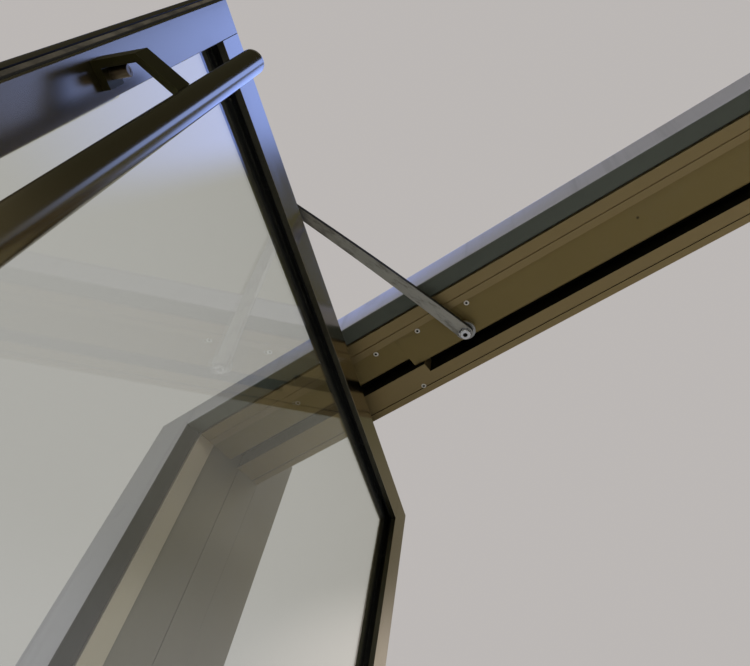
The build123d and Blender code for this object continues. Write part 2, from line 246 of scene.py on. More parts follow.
# %% Satin metal
DUST = (0.30, 0.285, 0.255)
OLD_SPOT = (0.02, 0.018, 0.012)
TONE_DRIFT, LONG_STREAKS, HAIRLINES = (1.3, 1.3, 1.9), (1.5, 1500.0, 1500.0), (5.0, 3200.0, 3200.0)
DIRT_PATCHES, SMUDGES, HANDPRINTS = (7.0, 16.0, 16.0), (28.0, 110.0, 110.0), (30.0, 30.0, 22.0)
HAND_LOW, HAND_HIGH, HAND_FADE = 0.85, 1.35, 0.25
SPECKS_PER_METRE = 34.0
GRAIN_DEPTH = 0.00005


def metal(name, dark, light, rough, along, grain, dust, metallic=1.0, specks=0.0, hands=0.0, mottle=0.0):
    """Satin metal: drifting tone, fine grain along the bar, dust, wipe marks, splashes and specks."""
    f = Finish(name, along)
    drift = f.noise(TONE_DRIFT, 2.0, 0.55, f.room)
    streak = f.noise(LONG_STREAKS, 2.0)
    hair = f.noise(HAIRLINES, 1.0)
    dirt = f.noise(DIRT_PATCHES, 5.0, 0.65).step(0.48, 0.78) * dust + f.splashes() * 0.45
    colour = f.blend((drift * 0.8 + streak * (0.2 * grain)).clamped(), dark, light)
    colour = f.blend(dirt, colour, tuple(0.5 * c + 0.5 * k for c, k in zip(light, DUST)))
    gloss = rough + (streak - 0.5) * (0.14 * grain) + dirt * 0.45
    if mottle:
        smudge = f.noise(SMUDGES, 5.0, 0.72).step(0.46, 0.70) * mottle
        colour = f.blend(smudge, colour, tuple(0.30 * c for c in dark))
        gloss = gloss + smudge * 0.2
    if specks:
        spots = f.specks(SPECKS_PER_METRE, specks)
        colour = f.blend(spots * 0.8, colour, OLD_SPOT)
        gloss = gloss + spots * 0.25
    if hands:
        prints = f.noise(HANDPRINTS, 4.0, 0.7, f.room).step(0.45, 0.62)
        gloss = gloss + f.axis("Z", f.room).band(HAND_LOW, HAND_HIGH, HAND_FADE) * prints * hands
    normal = f.bump(hair * 0.6 + streak * 0.4, GRAIN_DEPTH, 0.3 * grain)
    return f.output(f.surface(colour, gloss.clamped(), normal, Metallic=metallic))


ALONG_X, ALONG_Z = (0, 0, 0), (0, math.radians(90), 0)
ALONG_LEFT, ALONG_RIGHT = (0, 0, -TURN), (0, 0, TURN)
print("satin metal grain runs along X, along Z, or along an open leaf")

# %% [markdown]
# The frame is olive bronze, a shade warmer on the strips beside the lines than on the flat cover plates. The
# jamb's front strip is painted much brighter, a painted sheen, and the face set back behind it darker, a
# painted shade. One bronze for all would be simpler, but then these steps in depth would hardly show, so each
# profile gets its own pair of tones.

# %% Bronzes of the frame
finishes = {
    "plate": metal("cover plate bronze", (0.235, 0.172, 0.055), (0.320, 0.240, 0.088), 0.50, ALONG_X,
                   grain=0.5, dust=0.10, metallic=0.55, specks=0.06),
    "strip": metal("strip bronze", (0.285, 0.206, 0.084), (0.390, 0.292, 0.130), 0.42, ALONG_X,
                   grain=0.6, dust=0.12, metallic=0.6),
    # painted sheen: the jamb's front strip is much brighter than the face set back behind it
    "jamb": metal("jamb strip bronze with painted sheen", (0.590, 0.500, 0.375), (0.740, 0.640, 0.500), 0.32, ALONG_Z,
                  grain=0.8, dust=0.12, metallic=0.6),
    # painted shade: the jamb's set-back face is darker than its front strip
    "jamb_recess": metal("jamb set back bronze with painted shade", (0.250, 0.220, 0.165), (0.340, 0.304, 0.236), 0.42, ALONG_Z,
                         grain=0.5, dust=0.16, metallic=0.7),
    "header": metal("header bronze", (0.190, 0.160, 0.108), (0.270, 0.232, 0.165), 0.38, ALONG_X,
                    grain=0.5, dust=0.14, metallic=0.8),
}
print(len(finishes), "bronzes for the frame")

# %% [markdown]
# The leaves are a lighter and glossier bronze, and the narrow faces round the pane and along the leaf's edges
# are painted nearly black as shade. The pulls are polished by hands, and their brackets are darker. The left
# and the right rails lie along different leaves, so each has its own material with the grain turned its own
# way, and the same tones.

# %% Bronzes of the leaves
RAIL_DARK, RAIL_LIGHT = (0.270, 0.240, 0.180), (0.350, 0.312, 0.240)
finishes.update({
    "stile": metal("stile bronze", (0.280, 0.248, 0.186), (0.360, 0.320, 0.246), 0.245, ALONG_Z,
                   grain=0.3, dust=0.10),
    "rail_left": metal("left rail bronze", RAIL_DARK, RAIL_LIGHT, 0.18, ALONG_LEFT, grain=0.3, dust=0.10),
    "rail_right": metal("right rail bronze", RAIL_DARK, RAIL_LIGHT, 0.18, ALONG_RIGHT, grain=0.3, dust=0.10),
    # painted shade: the narrow faces round the pane and along the leaf's edges are nearly black
    "leaf_inner": metal("leaf bronze with painted shade", (0.026, 0.023, 0.010), (0.048, 0.043, 0.022), 0.30, ALONG_Z,
                        grain=0.3, dust=0.04, metallic=0.5),
    "pull": metal("pull tube bronze", (0.260, 0.230, 0.160), (0.360, 0.320, 0.235), 0.19, ALONG_Z,
                  grain=0.4, dust=0.05, hands=0.14),
    "bracket": metal("pull bracket bronze", (0.042, 0.040, 0.014), (0.085, 0.076, 0.032), 0.32, ALONG_Z,
                     grain=0.4, dust=0.08, metallic=0.9),
    "stud": metal("stud bronze", (0.150, 0.115, 0.070), (0.260, 0.205, 0.130), 0.30, ALONG_Z,
                  grain=0.3, dust=0.06, metallic=0.9),
})
print(len(finishes), "finishes so far")

# %% [markdown]
# The closer arms are bare steel, mottled where oil and dust have dried, with their side faces painted nearly
# black as shade. Bolts and screws are bright, pins a plain grey, and the threshold is the most worn. The mottle
# could be painted by hand, but a second noise with centimetre cells gives the same broken grey.

# %% Steel, and the threshold's aluminium
ARM_DARK, ARM_LIGHT = (0.300, 0.284, 0.232), (0.600, 0.575, 0.500)
ARM_WEAR = {"grain": 0.8, "dust": 0.30, "metallic": 0.85, "mottle": 0.55}
finishes.update({
    "arm": metal("arm steel", ARM_DARK, ARM_LIGHT, 0.40, (0, 0, -ARM_TURN), **ARM_WEAR),
    "arm_right": metal("right arm steel", ARM_DARK, ARM_LIGHT, 0.40, (0, 0, ARM_TURN), **ARM_WEAR),
    # painted shade: the arm's side faces are nearly black
    "arm_edge": metal("arm sides with painted shade", (0.014, 0.013, 0.009), (0.030, 0.028, 0.021), 0.60, ALONG_Z,
                      grain=0.4, dust=0.10, metallic=0.5),
    "pivot": metal("pivot steel", (0.34, 0.34, 0.32), (0.50, 0.50, 0.48), 0.30, ALONG_Z,
                   grain=0.4, dust=0.15),
    "bolt": metal("bright bolt steel", (0.60, 0.60, 0.59), (0.78, 0.78, 0.77), 0.16, ALONG_Z,
                  grain=0.2, dust=0.05),
    "screw": metal("screw steel", (0.70, 0.66, 0.57), (0.90, 0.86, 0.77), 0.30, ALONG_Z,
                   grain=0.2, dust=0.08),
    "sill": metal("sill aluminium", (0.20, 0.175, 0.135), (0.33, 0.30, 0.25), 0.38, ALONG_X,
                  grain=0.8, dust=0.40, specks=0.12),
})
print(len(finishes), "metal finishes")

# %% [markdown]
# The casing is folded sheet with a satin coating, a slight orange-peel skin and faint runs of dried rain.
# Metal's grain would be wrong here, so it has a function of its own, in which the runs are noise stretched
# downwards. Its underside is painted a darker grey and the sides that face the opening nearly black, both as
# painted shade.

# %% Coated sheet
STAIN = (0.10, 0.10, 0.09)
RAIN_RUNS, GRIME_SPOTS, ORANGE_PEEL = (38.0, 38.0, 1.6), (10.0, 10.0, 10.0), (900.0, 900.0, 900.0)


def coating(name, dark, light, rough=0.36, runs=0.25):
    """Satin coated sheet with orange peel, soft runs, splashes and a little grime."""
    f = Finish(name)
    drift = f.noise((0.8, 2.0, 2.0))
    run = f.noise(RAIN_RUNS, 4.0).step(0.50, 0.80)
    grime = f.noise(GRIME_SPOTS, 6.0, 0.7).step(0.55, 0.85)
    peel = f.noise(ORANGE_PEEL, 1.0)
    stain = (run * runs + grime * 0.2 + f.splashes() * 0.4).clamped()
    colour = f.blend(stain, f.blend(drift, dark, light), STAIN)
    gloss = (rough + grime * 0.22 + run * 0.10).clamped()
    return f.output(f.surface(colour, gloss, f.bump(peel, 0.00005, 0.4), Metallic=0.3))


for key, name, dark, light, wear in (
    ("casing", "grey casing coating", (0.330, 0.322, 0.338), (0.425, 0.415, 0.435), ()),
    # painted shade: a darker underside, and nearly black sides that face the opening
    ("casing_underside_shade", "dull casing underside", (0.092, 0.104, 0.076), (0.145, 0.158, 0.124), (0.5, 0.1)),
    ("casing_reveal_shade", "dark casing reveal", (0.012, 0.012, 0.007), (0.022, 0.021, 0.013), (0.5, 0.1)),
):
    finishes[key] = coating(name, dark, light, *wear)
print("coated sheet in three tones")

# %% [markdown]
# Rubber is nearly black, with a fine skin and dust in its pores. Its look is mostly how little light it
# throws back: at the usual specular level it turns grey under a pale surround, so that level is low. The
# bottom of a slot or a socket is painted dark too, as shade, and takes the same function.

# %% Rubber, bristle and dark recesses
RUBBER_DUST = (0.050, 0.046, 0.038)


def rubber(name, tone, rough):
    """Extruded rubber: nearly black, fine skin, dust in patches."""
    f = Finish(name)
    dust = f.noise((26.0, 26.0, 26.0), 5.0, 0.7).step(0.54, 0.84)
    skin = f.noise((1400.0, 1400.0, 1400.0), 1.0)
    colour = f.blend(dust * 0.05, tone, RUBBER_DUST)
    gloss = (rough + dust * 0.25).clamped()
    return f.output(f.surface(colour, gloss, f.bump(skin, 0.00003, 0.4), Specular_IOR_Level=0.07))


finishes["gasket"] = rubber("glazing rubber", (0.0012, 0.0012, 0.0008), 0.20)
# painted shade: a near-black finish for the faces inside slots and sockets
finishes["recess"] = rubber("shadow inside a socket or slot", (0.009, 0.008, 0.0035), 0.6)
finishes["bristle"] = rubber("nylon bristle", (0.030, 0.028, 0.026), 0.5)
print("rubber, recess and bristle ready")

# %% [markdown]
# The meeting edge of each leaf carries a nose: a bronze middle between two fine lines, outside them a strip
# of grey-brown pile that collects dust, and a rim. The lines and the rim are painted black, as the shade in
# the grooves and in the gap beside the stile. It could be four solids, but the steps are under a millimetre,
# so one material tells them apart by the leaf's own Y.

# %% Edge nose
LINE_FROM, LINE_TO, LINE_SOFT = 0.0110, 0.0132, 0.0002
PILE_FROM, PILE_TO = 0.0118, 0.0122
RIM_FROM, RIM_TO = 0.0168, 0.0178
# painted shade: black in the grooves of the two lines and in the gap at the rim
RIM_SHADE, LINE_SHADE = (0.005, 0.005, 0.0035), (0.003, 0.003, 0.002)


def nose_finish(name, side):
    """Bronze between the two lines, mottled pile outside them, and painted shade in the lines and at the rim.
    """
    f = Finish(name, (0, 0, SIDES[side] * TURN), (SIDES[side] * PIVOT_X, 0, 0))
    across = f.axis("Y").math("ABSOLUTE")
    pile = across.step(PILE_FROM, PILE_TO)
    # painted shade: the mask of the two dark lines
    line = across.band(LINE_FROM, LINE_TO, LINE_SOFT)
    tuft = f.noise((700.0, 700.0, 260.0), 3.0, 0.7)
    patch = f.noise((20.0, 20.0, 30.0), 4.0, 0.6).step(0.35, 0.7)
    grain = f.noise((900.0, 900.0, 2.0), 2.0)
    bronze = f.blend(grain, (0.030, 0.026, 0.013), (0.070, 0.060, 0.034))
    pile_and_rim_shade = f.blend((tuft * 0.6 + patch * 0.5 - 0.1).clamped(), (0.012, 0.010, 0.006), (0.125, 0.108, 0.074))
    pile_and_rim_shade = f.blend(across.step(RIM_FROM, RIM_TO), pile_and_rim_shade, RIM_SHADE)
    colour = f.blend(line, f.blend(pile, bronze, pile_and_rim_shade), LINE_SHADE)
    rough = 0.38 + pile * 0.45
    normal = f.bump(tuft * pile, 0.0003, 0.6)
    metallic = 0.8 - pile * 0.8
    return f.output(f.surface(colour, rough.clamped(), normal, Metallic=metallic))


for side in SIDES:
    finishes["nose_" + side] = nose_finish(side + " edge nose", side)
print("nose finishes ready")

# %% [markdown]
# Float glass is clear with a faint green body. Two things make it look real: it throws no dark shadow, and a
# thin film of dust and dried drops shows on it. Caustics take very long, so a Mix Shader on Is Shadow Ray
# lets the light through. The index of refraction is above that of plain glass, because a coated pane mirrors
# the frame more strongly.

# %% Glass
GLASS_BODY, GLASS_SHADOW = (0.86, 0.90, 0.87), (0.86, 0.92, 0.89, 1)
COATED_IOR = 1.7
FILM, FILM_ALL_OVER, FILM_LOW_DOWN = 0.025, 0.003, 0.05


def clear_glass(name):
    f = Finish(name)
    film = f.noise((5.0, 5.0, 2.2), 6.0, 0.72).step(0.52, 0.90)
    low = 1 - f.axis("Z", f.room).step(0.08, 0.50)
    body = f.surface(GLASS_BODY, 0.0, Transmission_Weight=1.0, IOR=COATED_IOR)
    dust = f.surface((0.42, 0.42, 0.40), 0.9)
    amount = film * FILM + film * low * FILM_LOW_DOWN + FILM_ALL_OVER
    dusty = f.node("ShaderNodeMixShader", None, {0: amount, 1: body, 2: dust})[0]
    shadow = f.node("ShaderNodeLightPath")["Is Shadow Ray"]
    through = f.node("ShaderNodeBsdfTransparent", None, {"Color": GLASS_SHADOW})[0]
    return f.output(f.node("ShaderNodeMixShader", None, {0: shadow, 1: dusty, 2: through})[0])


finishes["glass"] = clear_glass("clear glass")
print("all finishes:", ", ".join(sorted(finishes)))

# %% [markdown]
# Each new piece rides on the CAD body that it belongs to, and may stand for CAD nodes, which are then
# hidden. Its modifiers are baked into a plain mesh first, because the export takes it as it is.

# %% Put a piece on its body
BODIES = {node: body for body, nodes in frame["record"]["behaviour"]["bodies"].items() for node in nodes}
SLOTS = {row["node"]: row["material_slot"] for row in frame["record"]["subparts"]}


def put_on(piece, body, slot, *nodes):
    """Say what the piece rides on and which nodes it stands for; slot, the finish that it takes, is not used.
    """
    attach(piece, body)
    if nodes:
        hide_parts(*nodes)
    return piece


def baked(piece):
    """Apply every modifier and leave a plain mesh."""
    graph = bpy.context.evaluated_depsgraph_get()
    mesh = bpy.data.meshes.new_from_object(piece.evaluated_get(graph))
    piece.modifiers.clear()
    piece.data = mesh
    return piece


def linked(name, mesh):
    piece = bpy.data.objects.new(name, mesh)
    bpy.context.scene.collection.objects.link(piece)
    return piece


# %% [markdown]
# A CAD solid has perfectly sharp edges, and real extrusions never do: the small round on each edge catches
# the light. Rounds in CAD would cost many faces. So each metal piece is copied, welded, cleaned of needless
# triangles and bevelled by a millimetre or so, and the copy stands for the CAD node. The normals that came with
# the file are dropped first, because with them the bevel would shade a flat bar as if it were round. Some faces
# take a further finish, such as the arm's sides, painted nearly black as shade. They are picked by where they
# face or lie.

# %% Round the edges
WELD_WITHIN, FLAT_WITHIN, BEVEL_OVER = 1e-6, math.radians(0.4), math.radians(32)


def machined(node, finish, round_mm, others=(), segments=2):
    """A welded copy of a CAD node with rounded edges; others says which faces take another finish."""
    source = frame["nodes"][node]
    mesh = source.data.copy()
    mesh.transform(source.matrix_world)
    bm = bmesh.new()
    bm.from_mesh(mesh)
    bmesh.ops.remove_doubles(bm, verts=bm.verts, dist=WELD_WITHIN)
    bmesh.ops.dissolve_limit(bm, angle_limit=FLAT_WITHIN, verts=bm.verts, edges=bm.edges)
    bm.to_mesh(mesh)
    bm.free()
    for stale in ("custom_normal", "sharp_edge", "sharp_face"):
        if stale in mesh.attributes:
            mesh.attributes.remove(mesh.attributes[stale])
    piece = linked(node + "_finished", mesh)
    bevel = piece.modifiers.new("edges", "BEVEL")
    bevel.width, bevel.segments = round_mm / 1000, segments
    bevel.limit_method, bevel.angle_limit = "ANGLE", BEVEL_OVER
    bevel.harden_normals = True
    mesh.materials.clear()
    mesh.materials.append(finishes[finish])
    for face in mesh.polygons:
        face.use_smooth = True
    baked(piece)
    for slot, (other, where) in enumerate(others, 1):
        piece.data.materials.append(finishes[other])
        for face in piece.data.polygons:
            if where(face):
                face.material_index = slot
    return put_on(piece, BODIES[node], SLOTS[node], node)


def facing(direction, least, either_way=False):
    """A test for faces that look along a direction, or along it either way."""
    direction = Vector(direction)

    def test(face):
        toward = face.normal.dot(direction)
        return (abs(toward) if either_way else toward) > least

    return test


UP, DOWN, INDOORS, OUTDOORS = (0, 0, 1), (0, 0, -1), (0, 1, 0), (0, -1, 0)
print("edges over", round(math.degrees(BEVEL_OVER)), "degrees are rounded")

# %% [markdown]
# The header is a beam with an outer strip, rolled cover plates, an inner strip and a dark slot between. The
# slot isn't painted on: it is there in the solids, but the faces inside it take a near-black finish as painted
# shade. The head casing is folded sheet, so its round is larger than a cut edge's, with more segments.

# %% Header, threshold and head casing
FOLD_MM, FOLD_SEGMENTS = 5.0, 5
machined("header_outer_strip", "strip", 0.5)
machined("header_cover_middle", "plate", 0.3)
machined("threshold", "sill", 0.6)
# painted shade: the beam's downward faces, inside the slot, take the near-black finish
machined("header_beam", "header", 1.0, [("recess", facing(DOWN, 0.5))])
# painted shade: the inner strip's side that faces the slot takes the near-black finish
sides_of_strip = [("recess", facing(OUTDOORS, 0.8)), ("header", facing(INDOORS, 0.5))]
machined("header_inner_strip", "strip", 0.5, sides_of_strip)
# painted shade: the head casing's underside takes a darker grey
machined("casing_head", "casing", FOLD_MM, [("casing_underside_shade", facing(DOWN, 0.8))], FOLD_SEGMENTS)
print("header, threshold and head casing dressed")

# %% [markdown]
# The rest comes in pairs, so a function dresses one side and a short loop runs it for both. The narrow faces
# round the pane and round the leaf's edge are painted much darker than its front, as shade. Of the jamb, the
# front strip is painted bright as a sheen, and all that lies behind it takes the set-back bronze with its
# painted shade. The arm has a wide worn edge and side faces painted nearly black all round as shade, and its
# bolt a socket painted dark as shade.

# %% Frame, leaf and arm of one side
BEHIND_JAMB_STRIP_Y = -0.0465
ARM_ROUND_MM = 1.9
SOCKET_R, SOCKET_FROM_Z = 0.0042, 2.4245


def dress(side, sign):
    """Machined copies of every metal node of one side."""
    for name, finish, round_mm in (
        ("jamb_return", "jamb_recess", 0.8),
        ("header_cover", "plate", 0.3),
        ("edge_nose", "nose_" + side, 0.3),
        ("inside_pull_brackets", "bracket", 0.9),
        ("outside_pull_brackets", "bracket", 0.9),
        ("closer_spindle", "pivot", 0.5),
    ):
        machined(f"{side}_{name}", finish, round_mm)
    along_leaf = (-sign * math.cos(TURN), -math.sin(TURN), 0)
    for name, finish, inner in (
        ("hinge_stile", "stile", along_leaf),
        ("lead_stile", "stile", along_leaf),
        ("top_rail", "rail_" + side, UP),
        ("bottom_rail", "rail_" + side, UP),
    ):
        # painted shade: the faces round the pane and along the leaf's edges take the nearly black bronze
        machined(f"{side}_{name}", finish, 0.7, [("leaf_inner", facing(inner, 0.75, True))])
    # painted shade: the casing's sides that face the opening are nearly black
    machined(side + "_casing", "casing", 0.9, [("casing_reveal_shade", facing((-sign, 0, 0), 0.5))])
    # painted sheen on the jamb's front strip, painted shade on all that lies behind it
    behind = [("jamb_recess", lambda face: face.center.y > BEHIND_JAMB_STRIP_Y)]
    machined(side + "_jamb", "jamb", 0.6, behind)
    # painted shade: the arm's side faces are nearly black
    shaded_sides = [("arm_edge", lambda face: abs(face.normal.z) < 0.93)]
    machined(side + "_closer_arm", "arm" if side == "left" else "arm_right", ARM_ROUND_MM, shaded_sides)
    hub = Vector((sign * SPINDLE_X, 0))
    # painted shade: the faces inside the bolt's socket are near-black
    socket = [("recess", lambda f: (f.center.xy - hub).length < SOCKET_R and f.center.z > SOCKET_FROM_Z)]
    machined(side + "_closer_arm_bolt", "bolt", 0.4, socket)


for side, sign in SIDES.items():
    dress(side, sign)
machined_pieces = [piece for piece in bpy.data.objects if piece.name.endswith("_finished")]
print(len(machined_pieces), "machined pieces,", sum(len(p.data.polygons) for p in machined_pieces), "faces")

# %% [markdown]
# The panes and the pins are right as they are: a pane is flat and clear, and a pin hardly shows. Copies would
# add nothing, so these nodes stay, and only their material slots are filled.

# %% Finish the plain nodes
plain = {"glass": "glass", "top_pivot": "pivot", "floor_pivot": "pivot"}
for name, finish in plain.items():
    for side in SIDES:
        node = frame["nodes"][f"{side}_{name}"]
        node.data.materials.clear()
        node.data.materials.append(finishes[finish])
print("plain nodes:", ", ".join(plain))

# %% [markdown]
# The pieces that come next have no CAD copy to start from, so their meshes are written out as corners and
# faces. Two steps are the same for all: faces are turned outwards, and the shading is smooth except over
# edges that should stay crisp.

# %% Meshes written out


def mesh_from(name, vertices, faces, finish, place=None):
    """A closed mesh put in its place, with its faces turned outwards."""
    mesh = bpy.data.meshes.new(name)
    mesh.from_pydata(vertices, [], faces)
    if place:
        mesh.transform(place)
    bm = bmesh.new()
    bm.from_mesh(mesh)
    bmesh.ops.recalc_face_normals(bm, faces=bm.faces)
    bm.to_mesh(mesh)
    bm.free()
    mesh.materials.append(finish)
    return mesh


def soften(mesh, degrees=28):
    """Smooth shading with sharp edges kept above an angle."""
    bm = bmesh.new()
    bm.from_mesh(mesh)
    for face in bm.faces:
        face.smooth = True
    for edge in bm.edges:
        edge.smooth = edge.calc_face_angle(0) < math.radians(degrees)
    bm.to_mesh(mesh)
    bm.free()
    return mesh


print("meshes are closed, turned outwards and softened")

# %% [markdown]
# A glazing gasket is an extruded rubber strip, pressed in between the glass and the lip of the frame. Only a
# narrow edge of it shows beside the lip, rounded and with a thin groove. A curve with a bevel would pinch at
# square corners, so the section is set at the four corners and joined up.

# %% Glazing gaskets
LEAF_BOTTOM, LEAF_TOP = 0.020, 2.420
HINGE_X, LEAD_X = -0.337, 0.663
HINGE_STILE, LEAD_STILE, RAIL = 0.066, 0.041, 0.063
PANE_X = (HINGE_X + HINGE_STILE, LEAD_X - LEAD_STILE)
PANE_Z = (LEAF_BOTTOM + RAIL, LEAF_TOP - RAIL)
GASKET_SECTION_MM = (
    (0.0, 6.0), (0.0, 13.0), (0.5, 13.2), (0.9, 12.5), (1.3, 12.9),
    (1.8, 12.6), (2.2, 11.9), (2.4, 10.8), (2.4, 6.0),
)


def gasket_ring(face):
    """Corners and faces of one ring, on the doorway face (1) or the outdoor face (-1) of the pane."""
    vertices, faces = [], []
    count = len(GASKET_SECTION_MM)
    for low_x, low_z in ((1, 1), (0, 1), (0, 0), (1, 0)):
        for inset, depth in GASKET_SECTION_MM:
            x = PANE_X[0] + inset / 1000 if low_x else PANE_X[1] - inset / 1000
            z = PANE_Z[0] + inset / 1000 if low_z else PANE_Z[1] - inset / 1000
            vertices.append((x, face * depth / 1000, z))
    for corner in range(4):
        for i in range(count):
            j, after = (i + 1) % count, (corner + 1) % 4
            faces.append((corner * count + i, corner * count + j, after * count + j, after * count + i))
    return vertices, faces


for side in SIDES:
    vertices, faces = gasket_ring(1)
    more, rest = gasket_ring(-1)
    faces += [tuple(i + len(vertices) for i in quad) for quad in rest]
    mesh = mesh_from(side + "_gasket", vertices + more, faces, finishes["gasket"], LEAF_PLACE[side])
    gasket = linked(side + "_glazing_gasket_finished", soften(mesh, 40))
    put_on(gasket, side + "_leaf", "black_gasket", side + "_glazing_gasket")
print("gasket section has", len(GASKET_SECTION_MM), "points")

# %% [markdown]
# A pull is drawn tube, closed by two caps that are pushed in, so a hairline runs round it just short of
# each end. A cylinder with loop cuts would do, but a turned shape says more with less: its section is a
# short list of radius and height, and a function spins any such list about an axis. Studs, tufts and
# sockets use it again.

# %% Turned shapes


def turned(name, section, finish, centre, place=None, steps=56):
    """A closed turned shape: section goes from the axis below to the axis above, as (radius, height)."""
    x, y = centre
    vertices = [(x, y, section[0][1])]
    rings = section[1:-1]
    for radius, height in rings:
        for i in range(steps):
            angle = math.tau * i / steps
            vertices.append((x + radius * math.cos(angle), y + radius * math.sin(angle), height))
    vertices.append((x, y, section[-1][1]))
    faces = []
    for i in range(steps):
        j = (i + 1) % steps
        faces.append((0, 1 + j, 1 + i))
        for ring in range(len(rings) - 1):
            low, high = 1 + ring * steps, 1 + (ring + 1) * steps
            faces.append((low + i, low + j, high + j, high + i))
        last = 1 + (len(rings) - 1) * steps
        faces.append((last + i, last + j, len(vertices) - 1))
    return mesh_from(name, vertices, faces, finish, place)


print("a section of radius and height makes a turned shape")

# %% [markdown]
# The tube's section is a rounded cap and the hairline, given for one end and read backwards for the other, so
# the two ends can't differ. The CAD node's box gives the axis and both heights.

# %% Pull tubes
PULL_R = 0.013
CAP = ((0.60, 0.0), (0.77, 0.0002), (0.885, 0.0008), (0.965, 0.0019), (1.0, 0.0032))
SEAM = ((1.0, 0.0056), (0.975, 0.0058), (0.975, 0.0062), (1.0, 0.0064))


def tube_section(z0, z1, radius):
    """Rounded cap, hairline seam, long tube, and the same at the other end."""
    end = [(radius * share, inset) for share, inset in (*CAP, *SEAM)]
    low = [(r, z0 + inset) for r, inset in end]
    high = [(r, z1 - inset) for r, inset in reversed(end)]
    return [(0, z0), *low, *high, (0, z1)]


for side in SIDES:
    for face in ("inside", "outside"):
        node = f"{side}_{face}_pull"
        lo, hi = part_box(node)
        centre = ((lo[0] + hi[0]) / 2, (lo[1] + hi[1]) / 2)
        mesh = soften(turned(node, tube_section(lo[2], hi[2], PULL_R), finishes["pull"], centre))
        put_on(linked(node + "_finished", mesh), side + "_leaf", "satin_metal", node)
print("pull tube", round(hi[2] - lo[2], 3), "m long")

# %% [markdown]
# Screws, bristles and ribs repeat one small shape at many points. A Python loop could copy the mesh, but
# Geometry Nodes do it in one step, and lean each copy at random from a fixed seed. The tree takes the points,
# the shape, a turn for all, a random lean, a seed and the finish. It ends by making the copies real, since
# the export would drop instances, and gives them their finish.

# %% One tree for everything that repeats


def repeat_tree():
    tree = bpy.data.node_groups.new("repeat a shape on points", "GeometryNodeTree")
    for name, kind in (
        ("Points", "NodeSocketGeometry"),
        ("Shape", "NodeSocketObject"),
        ("Turn", "NodeSocketVector"),
        ("Lean", "NodeSocketFloat"),
        ("Seed", "NodeSocketInt"),
        ("Finish", "NodeSocketMaterial"),
    ):
        tree.interface.new_socket(name, in_out="INPUT", socket_type=kind)
    tree.interface.new_socket("Result", in_out="OUTPUT", socket_type="NodeSocketGeometry")
    g = Graph(tree)
    given = g.node("NodeGroupInput")
    shape = g.node("GeometryNodeObjectInfo", None, {"Object": given["Shape"]})["Geometry"]
    values = {0: (-1.0, -1.0, -1.0), 1: (1.0, 1.0, 1.0), "Seed": given["Seed"]}
    random = g.node("FunctionNodeRandomValue", {"data_type": "FLOAT_VECTOR"}, values)[0]
    lean = g.node("ShaderNodeVectorMath", {"operation": "SCALE"}, {0: random, "Scale": given["Lean"]})[0]
    turn = g.node("ShaderNodeVectorMath", {"operation": "ADD"}, {0: given["Turn"], 1: lean})[0]
    values = {"Points": given["Points"], "Instance": shape, "Rotation": turn}
    copies = g.node("GeometryNodeInstanceOnPoints", None, values)[0]
    real = g.node("GeometryNodeRealizeInstances", None, {0: copies})[0]
    dressed = g.node("GeometryNodeSetMaterial", None, {"Geometry": real, "Material": given["Finish"]})[0]
    g.node("NodeGroupOutput", None, {0: dressed})
    return tree


REPEAT = repeat_tree()
INPUTS = {item.name: item.identifier for item in REPEAT.interface.items_tree if item.in_out == "INPUT"}
print("inputs:", ", ".join(INPUTS))

# %% [markdown]
# The tree is used through a modifier on an object whose corners are the points. Its inputs are set by the
# socket's identifier, not its name, and before the object is first evaluated. Then the result is baked into
# a plain mesh, and the object that lent its shape is thrown away.

# %% Repeat a shape


def repeated(name, points, shape, finish, turn=(0, 0, 0), lean=0.0, seed=1):
    """A plain mesh of the shape repeated on the points."""
    mesh = bpy.data.meshes.new(name)
    mesh.from_pydata(points, [], [])
    piece, sample = linked(name, mesh), linked(name + "_sample", shape)
    modifier = piece.modifiers.new("repeat", "NODES")
    modifier.node_group = REPEAT
    for key, value in (("Shape", sample), ("Turn", turn), ("Lean", lean), ("Seed", seed), ("Finish", finish)):
        modifier[INPUTS[key]] = value
    baked(piece)
    bpy.data.objects.remove(sample)
    return piece


print("ready to repeat shapes on points")

# %% [markdown]
# A countersunk socket screw shows a bright rim round a six-sided hole. A Boolean could cut the hole, but on
# so small a screw a ring of five loops is lighter and always clean. The rim and the hole's bottom, painted
# dark as the shade in the hole, are two shapes, so that each takes its own finish.

# %% Screw shapes
SIXTH = math.pi / 3


def socket_rim(outer, hex_r, proud, steps=24):
    """A ring with a round outside and a six-sided hole, standing proud below its seat at z = 0."""

    def hexagon(angle):
        return hex_r * math.cos(SIXTH / 2) / math.cos(angle % SIXTH - SIXTH / 2)

    rings = ((outer, 0.0), (outer * 0.97, -0.5 * proud), (outer * 0.86, -proud), (None, -proud), (None, 0.0))
    vertices, faces = [], []
    for radius, height in rings:
        for i in range(steps):
            angle = math.tau * i / steps
            r = hexagon(angle) if radius is None else radius
            vertices.append((r * math.cos(angle), r * math.sin(angle), height))
    for ring in range(len(rings)):
        low, high = ring * steps, (ring + 1) % len(rings) * steps
        for i in range(steps):
            j = (i + 1) % steps
            faces.append((low + i, low + j, high + j, high + i))
    return mesh_from("socket rim", vertices, faces, finishes["screw"])


def disc(radius, low, high, steps=12):
    """A thin closed disc."""
    section = [(0, low), (radius, low), (radius, high), (0, high)]
    # the disc takes the near-black finish, painted shade at a socket's bottom
    return turned("disc", section, finishes["recess"], (0, 0), None, steps)


print("rim and socket bottom ready")

# %% [markdown]
# On the header the screws sit where the photograph has them: three in the cover plate and one in the inner
# strip, measured from the pivot. The threshold has the few that hold it down. A screw is drawn with its head
# at -Z, so a turn takes that side to the face that it sits in.

